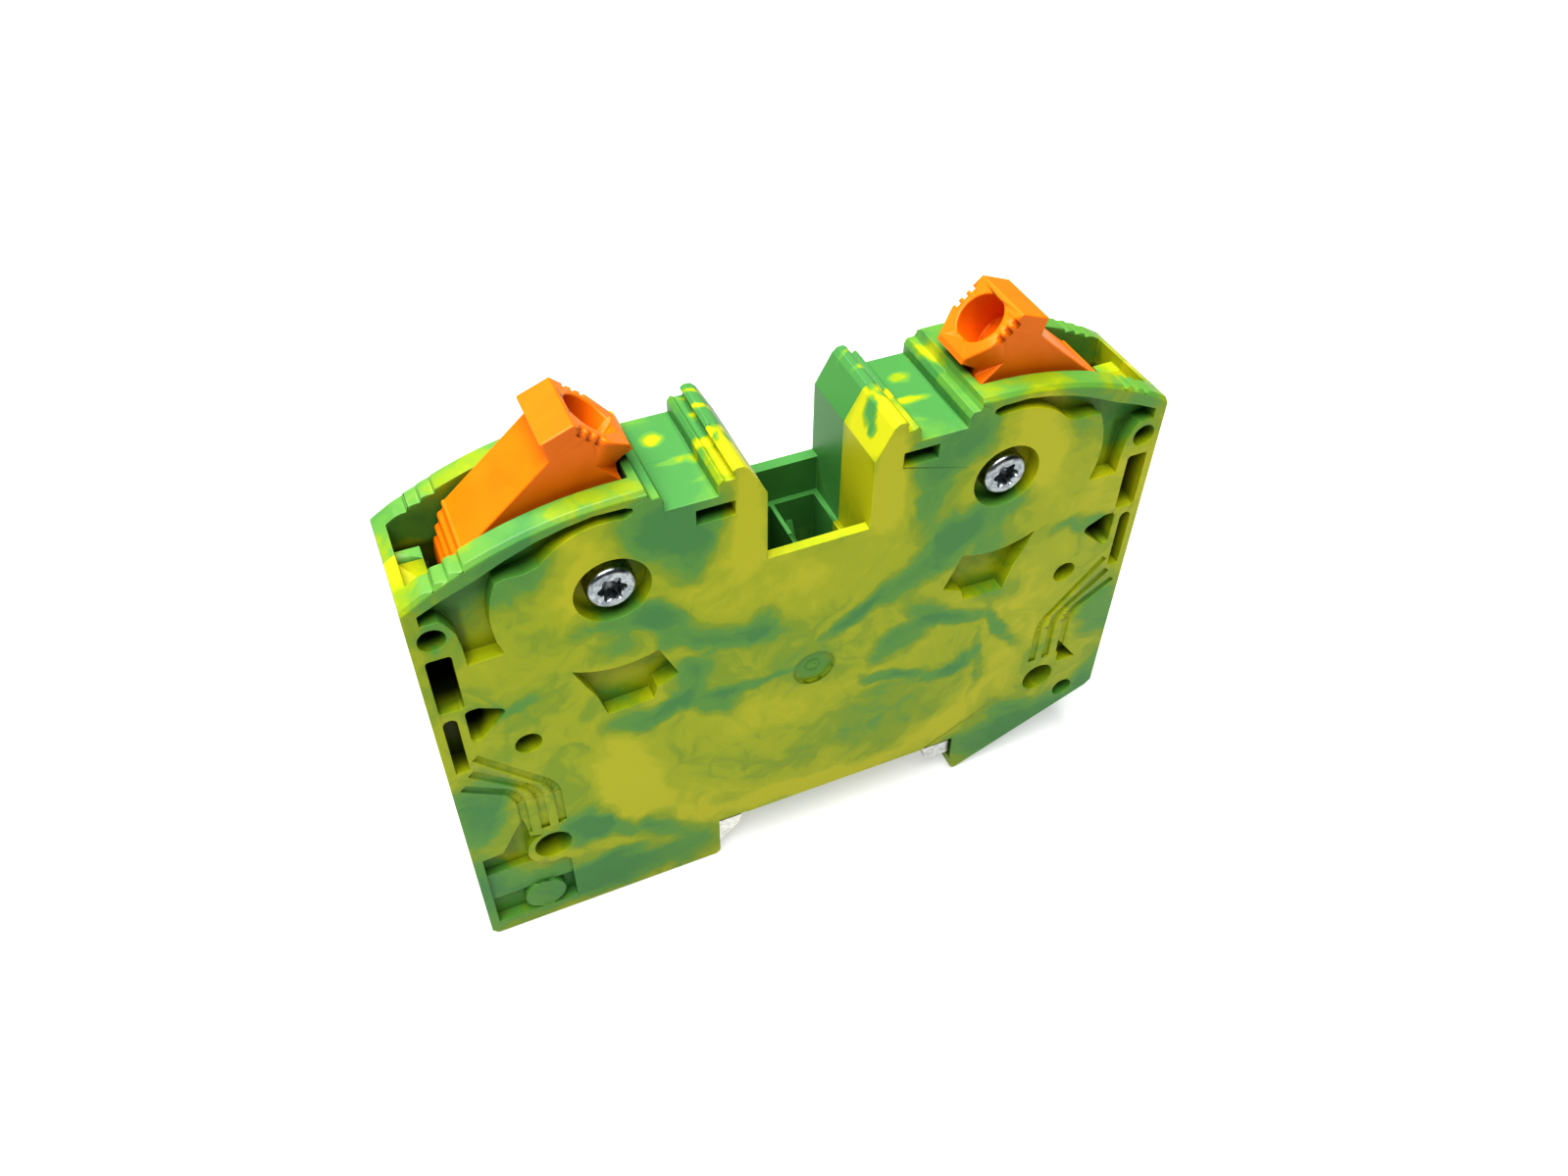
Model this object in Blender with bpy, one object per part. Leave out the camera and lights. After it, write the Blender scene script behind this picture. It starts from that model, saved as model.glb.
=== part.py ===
"""Lever-operated earth terminal block, 16 mm wide, for a 35 mm DIN rail.

Dimensions are in millimetres and become metres in prism() and turned(). X runs along the
block from one conductor entry to the other, -Y is the front with the axle screws, Z is up,
and the origin is the middle of the base. The two ends mirror each other, so most outlines
are written once as (u, z), where u is the distance from the middle towards an end wall.
"""

from math import acos, atan2, cos, degrees, hypot, pi, radians, sin, tan

import bmesh
import bpy
from mathutils import Matrix, Vector

MM = 0.001
SIDES = {"left": -1, "right": 1}

# Housing
HALF_LENGTH = 46.2
HALF_WIDTH = 8.0
HALF_SEAM = 0.05  # half the gap between the two shells
HALF_BAY = 5.0  # half the clear width between the side walls
END_WALL_INSIDE = 44.8
STEP_TOP = 69.0  # flat top beside the lever
DECK_TOP = 65.8  # flat top between the step and the marker ridge
NOTCH_HALF = 6.4  # bridging notch in the middle
NOTCH_SILL = 54.7
RIM_CENTRE = (22.0, 25.0)
RIM_RADIUS = 44.0
RIM_CHAMFER = 0.5
RAIL_SEAT = 7.4  # ceiling of the rail recess
RECESS_LEFT = -13.5
RECESS_RIGHT = 23.0
FOOT_RISE = ((24.5, 0.2), (45.3, 9.4))  # sloped underside of the right foot
LEDGE_TOP = 61.1  # shelf at the channel's outer end
LEDGE_BACK = 2.1
RELIEF = 2.0  # depth of the moulded relief in the side faces

# Lever
PIVOT = (24.4, 56.7)
LEVER_OPENS = 54.0  # degrees
LEVER_HALF = 4.45
HUB_RADIUS = 9.2
CAM_RADIUS = 12.8
RIDGE_RADIUS = 16.3
BORE_RADIUS = 3.0
SOCKET_RADIUS = 3.0
SOCKET_DEPTH = 5.0
NOSE = (19.6, 71.3)
CROWN = (25.5, 76.6)

# Clamp
BAR_LOW, BAR_HIGH, BAR_END, BAR_HALF = 35.4, 37.4, 33.5, 2.75
STRIP = 1.2  # thickness of the clamp spring
BEND = (14.5, 40.2)
BEND_RADIUS = 2.0
LEG_SLOPE = 13.0  # degrees, with the clamp closed
LEG_END = 33.2
YOKE_U = (30.4, 32.7)
YOKE_OPEN = 7.4  # how far the yoke goes down
YOKE_Z = (32.9, 35.1, 47.4, 48.9)  # outside and inside of the yoke's lower and upper bars
WIRE_LOW, WIRE_HIGH, WIRE_HALF = 28.0, 35.1, 4.2

# Rail foot
FOOT_LOW, FOOT_HIGH = 9.2, 10.7
LATCH_PIVOT = (24.6, 15.5)
CLAW_HALF = 7.2
GAP = 0.3

# Small relief of the side faces
GATE_DEPTH = 0.5
GROOVE_DEPTH = 0.35


def clear_scene():
    for old in list(bpy.data.objects):
        bpy.data.objects.remove(old)


def material(name, colour, roughness, metallic=0.0):
    made = bpy.data.materials.new(name)
    made.use_nodes = True
    shader = made.node_tree.nodes["Principled BSDF"]
    shader.inputs["Base Color"].default_value = (*colour, 1.0)
    shader.inputs["Roughness"].default_value = roughness
    shader.inputs["Metallic"].default_value = metallic
    return made


def arc(centre, radius, start, end, steps):
    """Points on a circle from start to end, in degrees, both ends included."""
    turns = [radians(start + (end - start) * i / steps) for i in range(steps + 1)]
    return [(centre[0] + radius * cos(t), centre[1] + radius * sin(t)) for t in turns]


def circle(centre, radius, steps=32):
    return arc(centre, radius, 0, 360, steps)[:-1]


def box(low_u, high_u, low_z, high_z):
    return [(low_u, low_z), (high_u, low_z), (high_u, high_z), (low_u, high_z)]


def mirrored(outline, side):
    return [(side * u, z) for u, z in outline]


def rounded(outline, radius, steps=4):
    """The outline with an arc of the given radius in place of each corner."""
    smooth = []
    for i, corner in enumerate(outline):
        here = Vector(corner)
        back = (Vector(outline[i - 1]) - here).normalized()
        ahead = (Vector(outline[(i + 1) % len(outline)]) - here).normalized()
        half = back.angle(ahead) / 2
        middle = here + (back + ahead).normalized() * (radius / sin(half))
        first = here + back * (radius / tan(half)) - middle
        turn = first.angle_signed(here + ahead * (radius / tan(half)) - middle)
        for k in range(steps + 1):
            at = middle + Matrix.Rotation(-turn * k / steps, 2) @ first
            smooth.append((at.x, at.y))
    return smooth


def object_from(name, mesh_builder, paint, origin):
    """Closes a bmesh into an object whose origin is at the given (x, z) in millimetres."""
    bmesh.ops.recalc_face_normals(mesh_builder, faces=mesh_builder.faces)
    mesh = bpy.data.meshes.new(name)
    mesh_builder.to_mesh(mesh)
    mesh_builder.free()
    mesh.shade_smooth()
    mesh.set_sharp_from_angle(angle=radians(35))
    made = bpy.data.objects.new(name, mesh)
    made.location = Vector((origin[0], 0, origin[1])) * MM
    bpy.context.scene.collection.objects.link(made)
    if paint:
        mesh.materials.append(paint)
    return made


def prism(name, outline, low, high, paint=None, origin=(0, 0), axes=None):
    """Extrudes an (x, z) outline along Y, or an outline in the plane of axes[0] and axes[1]
    along axes[2], where axes also holds the (x, y, z) of the outline's zero."""
    right, up, along, zero = axes or ((1, 0, 0), (0, 0, 1), (0, 1, 0), (0, 0, 0))
    shift = Vector(zero) - Vector((origin[0], 0, origin[1]))
    build = bmesh.new()
    corners = []
    for a, b in outline:
        place = shift + Vector(right) * a + Vector(up) * b + Vector(along) * low
        corners.append(build.verts.new(place * MM))
    face = build.faces.new(corners)
    grown = bmesh.ops.extrude_face_region(build, geom=[face])["geom"]
    moved = [item for item in grown if isinstance(item, bmesh.types.BMVert)]
    bmesh.ops.translate(build, verts=moved, vec=Vector(along) * (high - low) * MM)
    return object_from(name, build, paint, origin)


def turned(name, profile, centre, paint, along_z=False, steps=32):
    """Turns a closed (radius, distance) profile about Y, or about Z, through centre (x, z)."""
    build = bmesh.new()
    rings = []
    for radius, distance in profile:
        count = steps if radius > 0 else 1
        ring = []
        for i in range(count):
            a, b = radius * cos(2 * pi * i / count), radius * sin(2 * pi * i / count)
            place = (a, b, distance) if along_z else (a, distance, b)
            ring.append(build.verts.new(Vector(place) * MM))
        rings.append(ring)
    hollow = profile[0][0] > 0
    pairs = list(zip(rings, rings[1:] + rings[:1])) if hollow else list(zip(rings, rings[1:]))
    for first, second in pairs:
        for i in range(steps):
            j = (i + 1) % steps
            corners = [first[i % len(first)], first[j % len(first)]]
            corners += [second[j % len(second)], second[i % len(second)]]
            build.faces.new(list(dict.fromkeys(corners)))
    return object_from(name, build, paint, centre)


def lofted(name, rings):
    """A closed body through rings of (x, y, z) points, with a cap at each end."""
    build = bmesh.new()
    layers = [[build.verts.new(Vector(place) * MM) for place in ring] for ring in rings]
    for first, second in zip(layers, layers[1:]):
        for i in range(len(first)):
            build.faces.new([first[i - 1], first[i], second[i], second[i - 1]])
    build.faces.new(layers[0])
    build.faces.new(layers[-1][::-1])
    return object_from(name, build, None, (0, 0))


def boolean(target, tool, operation):
    tool.hide_render = True
    tool.display_type = "WIRE"
    change = target.modifiers.new(tool.name, "BOOLEAN")
    change.operation = operation
    change.object = tool


def cut(targets, tool):
    for target in targets:
        boolean(target, tool, "DIFFERENCE")


def fuse(target, tool):
    boolean(target, tool, "UNION")


# ---------------------------------------------------------------- housing

def rim_height(u):
    return RIM_CENTRE[1] + (RIM_RADIUS**2 - (u - RIM_CENTRE[0]) ** 2) ** 0.5


def top_outline():
    """The top edge from the notch out to the end wall, as (u, z)."""
    ridge = [(NOTCH_HALF, NOTCH_SILL), (NOTCH_HALF, 64.5), (8.5, 68.4), (9.1, 68.95)]
    hook = [(9.9, 69.0), (10.4, 68.6), (10.1, 68.1), (10.1, 67.6)]
    rib = [(11.1, 67.6), (11.5, 67.9), (12.0, 67.3), (12.0, DECK_TOP)]
    step = [(18.0, DECK_TOP), (18.0, 67.1), (18.4, 67.8), (19.3, 67.8), (19.6, 68.3)]
    step += [(19.8, STEP_TOP)]
    rim = [(u, rim_height(u)) for u in range(22, 46, 2)]
    end = HALF_LENGTH - 0.1
    return ridge + hook + rib + step + rim + [(end, rim_height(end)), (HALF_LENGTH, 61.4)]


def housing_outline():
    right_foot = [(HALF_LENGTH, 10.3), FOOT_RISE[1], FOOT_RISE[0], (23.9, 0.1)]
    right_foot += [(23.4, 0.6), (RECESS_RIGHT, RAIL_SEAT)]
    left_foot = [(RECESS_LEFT, RAIL_SEAT), (RECESS_LEFT, 0.6), (-14.1, 0)]
    left_foot += [(0.7 - HALF_LENGTH, 0), (-HALF_LENGTH, 0.8)]
    top = top_outline()
    return top + right_foot + left_foot + mirrored(top[::-1], -1)


def rim_teeth(shells, side, label):
    """Three rounded teeth in the outer end of the rim, each with its steep side inwards."""
    start, pitch, deep = 39.2, 1.6, 0.45
    for i in range(3):
        low, high = start + pitch * i, start + pitch * (i + 0.9)
        notch = [(high, rim_height(low) + 1), (low - 0.2, rim_height(low) + 1)]
        notch += [(low - 0.2, rim_height(low - 0.2)), (low, rim_height(low) - deep)]
        for k in range(1, 6):
            u = low + (high - low) * k / 5
            notch.append((u, rim_height(u) - deep * (1 - sin(pi / 2 * k / 5))))
        cut(shells, prism(f"rim_notch_{label}_{i}", mirrored(notch, side), -9, 9))


def rim_chamfer(shell, side, outward, label):
    """Takes the outer edge off the curved rim."""
    over = 0.3
    taken = RIM_CHAMFER + over
    section = [(-taken, over), (over, over), (over, -taken)]
    rings = []
    for i in range(14):
        turn = radians(93 - 3 * i)
        ring = []
        for grown, out in section:
            u = RIM_CENTRE[0] + (RIM_RADIUS + grown) * cos(turn)
            z = RIM_CENTRE[1] + (RIM_RADIUS + grown) * sin(turn)
            ring.append((side * u, outward * (HALF_WIDTH + out), z))
        rings.append(ring)
    cut([shell], lofted(f"rim_chamfer_{label}_{outward}", rings))


def lever_bay(shells, side, label):
    """Room for one lever: its head, and the sweep of its foot and hub."""
    rear = shells[1]
    inner = 20.8
    head = [(inner, 80), (inner, 56), (42.1, 56), (42.1, LEDGE_TOP)]
    head += [(END_WALL_INSIDE, LEDGE_TOP), (END_WALL_INSIDE, 80)]
    rooms = {
        "head_bay": head,
        "foot_sweep": [PIVOT] + arc(PIVOT, RIDGE_RADIUS + 0.8, 6, -18 - LEVER_OPENS, 20),
        "hub_bay": circle(PIVOT, HUB_RADIUS + 0.6, 40),
    }
    for name, outline in rooms.items():
        outline = mirrored(outline, side)
        cut(shells, prism(f"{name}_{label}", outline, -HALF_BAY, HALF_BAY))
    behind = mirrored(box(41.6, END_WALL_INSIDE, 58, 65), side)
    cut([rear], prism(f"behind_ledge_{label}", behind, LEDGE_BACK, HALF_BAY))


def clamp_bay(shells, side, label):
    """Room for one clamp: spring, yoke and conductor."""
    floor = BAR_HIGH - 0.1
    spring = [(11.4, floor), (11.4, 43.4), (13.5, 44.6), (22, 47.6), (34.6, 52), (35.2, 46)]
    mouth_low, mouth_high, mouth_in = WIRE_LOW - 1.4, WIRE_HIGH + 1.4, 43.2
    mouth = [(mouth_in, WIRE_LOW), (HALF_LENGTH + 1, mouth_low)]
    mouth += [(HALF_LENGTH + 1, mouth_high), (mouth_in, WIRE_HIGH)]
    yoke_low = YOKE_Z[0] - YOKE_OPEN - 0.6
    rooms = {
        "spring_bay": (spring + [(35.2, floor)], HALF_BAY),
        "yoke_shaft": (box(YOKE_U[0] - GAP, YOKE_U[1] + GAP, yoke_low, 52), HALF_BAY),
        "wire_tunnel": (box(17, HALF_LENGTH + 1, WIRE_LOW, WIRE_HIGH), WIRE_HALF),
        "wire_mouth": (mouth, WIRE_HALF + 0.3),
    }
    for name, (outline, half) in rooms.items():
        cut(shells, prism(f"{name}_{label}", mirrored(outline, side), -half, half))


def foot_bays(shells):
    """Room for the busbar, the earth foot and its two rail claws."""
    bar = box(-35.2, 35.2, BAR_LOW - GAP, BAR_HIGH + GAP)
    cut(shells, prism("bar_slot", bar, -3.1, 3.1))
    tee = [(-10.1, 32.2), (-1.1, 32.2), (-1.1, 8.9), (1.1, 8.9), (1.1, 32.2), (10.1, 32.2)]
    tee += [(10.1, BAR_LOW), (-10.1, BAR_LOW)]
    cut(shells, prism("foot_stem_bay", tee, -4.8, 4.8))
    heads = box(5.2, 10.0, BAR_HIGH - 0.1, 39.0)
    for label, side in SIDES.items():
        cut(shells, prism(f"rivet_bay_{label}", mirrored(heads, side), -2.7, 2.7))
    flange = box(-20.3, 23.2, FOOT_LOW - GAP, FOOT_HIGH + GAP)
    cut(shells, prism("foot_flange_bay", flange, -4.8, 4.8))
    claw = box(-20.3, RECESS_LEFT + 1, 0.9, FOOT_LOW)
    cut(shells, prism("fixed_claw_bay", claw, -CLAW_HALF - GAP, CLAW_HALF + GAP))
    latch = [(22, 2.2), (25.5, 2.2), (30.3, 3.9), (29.9, 6.6), (26.2, 17.7), (21.4, 17.7)]
    latch += [(21.4, 8.9), (23.4, 8.9), (23.4, 7.4), (22, 7.4)]
    cut(shells, prism("latch_bay", latch, -CLAW_HALF - GAP, CLAW_HALF + GAP))
    relief = 0.2
    for name, low, high in (("left", RECESS_LEFT, -9.5), ("right", 18.3, RECESS_RIGHT)):
        over_claw = box(low, high, RAIL_SEAT - 1, RAIL_SEAT + relief)
        cut(shells, prism(f"seat_relief_{name}", over_claw, -9, 9))


def bridging_wells(shells):
    """The notch: a thin sill in front and behind, and two wells down to the busbar."""
    rib_half, rib_top = 0.3, 49.5
    sill_front, sill_rear, step = -6.7, 6.4, 0.7
    floor = BAR_HIGH + 0.1
    across = box(-NOTCH_HALF, NOTCH_HALF, rib_top, NOTCH_SILL + 1)
    cut(shells, prism("notch_well", across, sill_front, sill_rear))
    for label, side in SIDES.items():
        well = mirrored(box(rib_half, NOTCH_HALF - step, floor, rib_top + 0.1), side)
        cut(shells, prism(f"well_{label}", well, sill_front, sill_rear - step))
    ramp = [(6.0, 46.2), (5.5, 46.2), (4.3, 44.0), (4.3, floor + 0.4), (6.0, floor + 0.4)]
    across = ((0, 1, 0), (0, 0, 1), (1, 0, 0), (0, 0, 0))
    fuse(shells[1], prism("well_ramp", ramp, 1.9, 2.8, axes=across))


def relief_outlines():
    """Closed (u, z) outlines moulded into both side faces beside each lever."""
    hub = arc(PIVOT, 9.7, 77.1, 139.4, 12)
    inner = arc(PIVOT, 13.3, 155.0, 199.5, 10)
    hub = [(2 * PIVOT[0] - u, z) for u, z in hub]
    inner = [(2 * PIVOT[0] - u, z) for u, z in inner]
    crest = [(33.4, 62.5), (35.3, 62.6)]
    outer = [(37.2, 52.0), (40.9, 51.9), (41.0, 54.7), (41.3, 57.0), (42.2, 58.8)]
    outer += [(42.7, 59.3), (44.6, 59.3)]
    below_rim = [(44.6, 2.0), (41.7, 2.2), (38.3, 2.4), (35.0, 2.0), (31.7, 1.6)]
    below_rim += [(28.5, 1.35), (25.5, 1.2)]
    top = [(u, rim_height(u) - drop) for u, drop in below_rim]
    lobe = hub + crest + inner + outer + top + [(22.2, 67.6), (21.4, 67.3), (21.3, 66.8)]
    cam = arc(PIVOT, 12.2, -62, -111.6, 10) + [(17.7, 40.3), (20.5, 39.0), (21.0, 37.3)]
    cam += [(26.7, 37.0), (27.7, 40.7), (28.7, 42.7)]
    return {"lobe": lobe, "cam": cam}


def strap_groove(radius_x, end):
    """One of the curved grooves: up, then turning 45 degrees outwards to its end."""
    half, low, bend = 0.55, 19.5, 25.4
    turn = 5.0
    centre = (radius_x + turn, bend)
    inner = arc(centre, turn - half, 180, 135, 6)
    outer = arc(centre, turn + half, 135, 180, 6)
    out = (end[0] - half * 0.7, end[1] + half * 0.7)
    back = (end[0] + half * 0.7, end[1] - half * 0.7)
    return [(radius_x + half, low)] + inner + [back, out] + outer + [(radius_x - half, low)]


def side_features(shell, outward, tag):
    """Relief, slots and holes of one side face. outward is -1 in front and 1 behind."""
    def sink(name, outline, depth):
        near, far = outward * (HALF_WIDTH - depth), outward * (HALF_WIDTH + 1)
        tool = prism(f"{name}_{tag}", outline, min(near, far), max(near, far))
        cut([shell], tool)

    for label, side in SIDES.items():
        for name, outline in relief_outlines().items():
            sink(f"{name}_{label}", mirrored(outline, side), RELIEF)
        slot = box(42.3, 45.1, 45.5, 54.0)
        corner = rounded([(42.5, 44.9), (41.1, 44.9), (37.7, 43.2), (42.5, 38.6)], 0.7)
        sink(f"end_slot_{label}", mirrored(rounded(slot, 0.45), side), 7.0)
        sink(f"corner_pocket_{label}", mirrored(corner, side), 4.2)
        sink(f"marker_slot_{label}", mirrored(box(10.1, 14.55, 62.6, 64.6), side), 5.0)
        sink(f"upper_hole_{label}", mirrored(circle((43.8, 56.95), 1.5, 20), side), 6.5)
        sink(f"middle_hole_{label}", mirrored(circle((36.4, 36.3), 1.6, 20), side), 3.4)
        grooves = [(34.3, (42.7, 36.7)), (36.5, (43.6, 34.2)), (38.8, (44.9, 32.0))]
        for i, (at, end) in enumerate(grooves):
            sink(f"groove_{label}_{i}", mirrored(strap_groove(at, end), side), GROOVE_DEPTH)
        big = circle((side * 36.0, 15.3), 2.4, 24)
        sink(f"peg_hole_{label}", big, 5.0)
    sink("gate_mark", circle((0, 33.4), 2.85, 32), GATE_DEPTH)


def front_only_features(shell):
    def sink(name, outline, depth):
        cut([shell], prism(name, outline, -HALF_WIDTH - 1, depth - HALF_WIDTH))

    thin = [(43.5, 34.9), (45.1, 34.9)] + arc((44.3, 43.4), 0.8, 0, 180, 8)
    for label, side in SIDES.items():
        sink(f"thin_slot_{label}", mirrored(thin, side), 3.0)
    sink("low_hole", circle((41.0, 10.8), 1.55, 20), 5.0)
    sink("low_notch", [(38.6, 21.7), (41.8, 17.5), (38.7, 17.5)], 2.0)
    boss_from, boss_to = 108, 290
    ring = arc((-36.1, 15.0), 3.3, boss_from, boss_to, 14)
    pocket = [(-45.0, 16.8), (-42.3, 17.0), (-39.7, 21.7), (-39.0, 21.9), (-38.6, 18.6)]
    pocket += ring + [(-34.2, 11.0), (-34.2, 2.3), (-45.0, 2.3)]
    tool = prism("corner_relief", pocket, -HALF_WIDTH - 1, 1.5 - HALF_WIDTH)
    band = prism("corner_band", box(-46, -33, 7.2, 12.7), 0.5 - HALF_WIDTH, 0)
    boss = prism("corner_boss", circle((-38.25, 4.9), 2.75, 28), 0.1 - HALF_WIDTH, 0)
    cut([tool], band)
    cut([tool], boss)
    cut([shell], tool)


def screw_seats(front, rear):
    for label, side in SIDES.items():
        centre = (side * PIVOT[0], PIVOT[1])
        seat = circle(centre, 4.4, 40)
        cut([front], prism(f"screw_seat_{label}", seat, -HALF_WIDTH - 1, -5.6))
        cut([front], prism(f"screw_hole_{label}", circle(centre, 1.9, 20), -9, 0))
        cut([rear], prism(f"nut_hole_{label}", circle(centre, 1.9, 20), 0, 9))
        nut_room = circle(centre, 3.6, 6)
        cut([rear], prism(f"nut_seat_{label}", nut_room, 5.5, HALF_WIDTH + 1))


def housing(paint):
    outline = housing_outline()
    front = prism("housing_front", outline, -HALF_WIDTH, -HALF_SEAM, paint)
    rear = prism("housing_rear", outline, HALF_SEAM, HALF_WIDTH, paint)
    shells = (front, rear)
    bridging_wells(shells)
    foot_bays(shells)
    for label, side in SIDES.items():
        clamp_bay(shells, side, label)
        lever_bay(shells, side, label)
        rim_teeth(shells, side, label)
        rim_chamfer(front, side, -1, label)
        rim_chamfer(rear, side, 1, label)
    side_features(front, -1, "front")
    side_features(rear, 1, "rear")
    front_only_features(front)
    screw_seats(front, rear)


# ---------------------------------------------------------------- levers

def lever_outline():
    """The lever's (u, z) outline, closed position."""
    head = [(21.2, 69.6), (19.3, 70.6), NOSE, CROWN, (29.1, 75.2), (28.5, 73.0)]
    arm_end = (38.3, 64.5)
    arm_angle = degrees(atan2(arm_end[1] - PIVOT[1], arm_end[0] - PIVOT[0]))
    ridges, pitch, height = 3, 6.2, 0.45
    foot = []
    for i in range(6 * ridges + 1):
        turn = radians(arm_angle - 1 - i * pitch / 6)
        reach = RIDGE_RADIUS - height * (0.5 - 0.5 * cos(pi * i / 3))
        foot.append((PIVOT[0] + reach * cos(turn), PIVOT[1] + reach * sin(turn)))
    foot += arc(PIVOT, RIDGE_RADIUS, 5, -5, 2)
    cam = arc(PIVOT, CAM_RADIUS, -9, -30, 4)
    flank = degrees(acos((PIVOT[0] - head[0][0]) / HUB_RADIUS))
    hub = arc(PIVOT, HUB_RADIUS, -45, -180 - flank, 24)
    return head + [arm_end] + foot + cam + hub


def lever(label, side, paint):
    pivot = (side * PIVOT[0], PIVOT[1])
    name = f"lever_{label}"
    outline = mirrored(lever_outline(), side)
    body = prism(name, outline, -LEVER_HALF, LEVER_HALF, paint, pivot)
    cut([body], prism(f"{name}_bore", circle(pivot, BORE_RADIUS, 28), -9, 9))
    run, rise = CROWN[0] - NOSE[0], CROWN[1] - NOSE[1]
    length = hypot(run, rise)
    slope = (side * run / length, 0, rise / length)
    normal = (side * -rise / length, 0, run / length)
    middle = (side * (NOSE[0] + CROWN[0]) / 2, 0, (NOSE[1] + CROWN[1]) / 2)
    face = (slope, (0, 1, 0), normal, middle)
    socket = circle((0.4, 0), SOCKET_RADIUS, 32)
    cut([body], prism(f"{name}_socket", socket, -SOCKET_DEPTH, 1, axes=face))
    for edge, shift in ((-1, 0), (1, -0.7)):
        out = edge * (LEVER_HALF + 1)
        corner = [(-5.5, out), (-1.0, edge * (LEVER_HALF + 0.01)), (-4.1, edge * 2.9)]
        corner += [(-5.5, edge * 2.9)]
        cut([body], prism(f"{name}_nose_{edge}", corner, -3.2, 1, axes=face))
        for tooth in range(3):
            at = 0.1 + 1.15 * tooth + shift
            notch = [(at, out), (at + 0.6, out), (at + 0.6, edge * 3.9), (at, edge * 3.9)]
            cut([body], prism(f"{name}_grip_{edge}_{tooth}", notch, -0.9, 1, axes=face))


# ---------------------------------------------------------------- axles

def axle(label, side, steel):
    centre = (side * PIVOT[0], PIVOT[1])
    head, top, under = 2.85, -7.9, -5.9
    profile = [(0, top), (head - 0.7, top), (head - 0.2, top + 0.25), (head, top + 0.7)]
    profile += [(head, under), (1.5, under), (1.5, 7.2), (1.2, 7.5), (0, 7.5)]
    screw = turned(f"axle_screw_{label}", profile, centre, steel)
    star = []
    for i in range(36):
        turn = pi * i / 18
        reach = 1.38 + 0.22 * cos(6 * turn)
        star.append((centre[0] + reach * cos(turn), centre[1] + reach * sin(turn)))
    cut([screw], prism(f"torx_{label}", star, top - 1, top + 1.1))
    tube = [(1.8, -4.7), (2.7, -4.7), (2.7, 4.7), (1.8, 4.7)]
    turned(f"axle_sleeve_{label}", tube, centre, steel, steps=24)
    nut = prism(f"hex_nut_{label}", circle(centre, 3.15, 6), 5.7, 7.9, steel, centre)
    cut([nut], prism(f"nut_thread_{label}", circle(centre, 1.8, 20), 4, 9))


# ---------------------------------------------------------------- clamps

def spring_base(label, side, steel):
    """The fixed leg on the busbar and the bend."""
    outer = arc(BEND, BEND_RADIUS + STRIP / 2, 270, 112, 14)
    inner = arc(BEND, BEND_RADIUS - STRIP / 2, 112, 270, 14)
    end = 26.5
    legs = [(end, inner[-1][1]), (end, outer[0][1])]
    outline = mirrored(outer + inner + legs, side)
    centre = (side * BEND[0], BEND[1])
    prism(f"clamp_spring_{label}", outline, -HALF_BAY + 1, HALF_BAY - 1, steel, centre)


def spring_leg(label, side, steel):
    """The moving leg, which turns about the middle of the bend."""
    slope = radians(LEG_SLOPE)
    start = 90 + LEG_SLOPE
    reach = (LEG_END - BEND[0]) / cos(slope)

    def along(distance, height):
        u = BEND[0] + distance * cos(slope) - height * sin(slope)
        return u, BEND[1] + distance * sin(slope) + height * cos(slope)

    low, high = BEND_RADIUS - STRIP / 2, BEND_RADIUS + STRIP / 2
    outline = [along(0, low), along(reach, low), along(reach, high), along(0, high)]
    centre = (side * BEND[0], BEND[1])
    prism(f"clamp_leg_{label}", mirrored(outline, side), -2.9, 2.9, steel, centre)


def yoke(label, side, steel):
    """The steel frame round the busbar that pulls the conductor up against it."""
    outside, inside = HALF_BAY - GAP, 3.25
    low, sill, lintel, high = YOKE_Z
    rim = [(-outside, low), (outside, low), (outside, high), (-outside, high)]
    window = [(-inside, sill), (inside, sill), (inside, lintel), (-inside, lintel)]
    across = ((0, 1, 0), (0, 0, 1), (1, 0, 0), (0, 0, 0))
    near, far = sorted(side * u for u in YOKE_U)
    frame = prism(f"clamp_yoke_{label}", rim, near, far, steel, axes=across)
    cut([frame], prism(f"yoke_window_{label}", window, near - 1, far + 1, axes=across))


# ---------------------------------------------------------------- current path

def busbar(paint):
    flat = ((1, 0, 0), (0, 1, 0), (0, 0, 1), (0, 0, 0))
    plan = box(-BAR_END, BAR_END, -BAR_HALF, BAR_HALF)
    bar = prism("busbar", plan, BAR_LOW, BAR_HIGH, paint, axes=flat)
    for label, side in SIDES.items():
        hole = circle((side * 7.6, 0), 1.3, 20)
        cut([bar], prism(f"bar_rivet_hole_{label}", hole, 30, 40, axes=flat))
        slot = mirrored(box(1.6, 5.0, -0.7, 0.7), side)
        cut([bar], prism(f"bridge_slot_{label}", slot, 30, 40, axes=flat))


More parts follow.
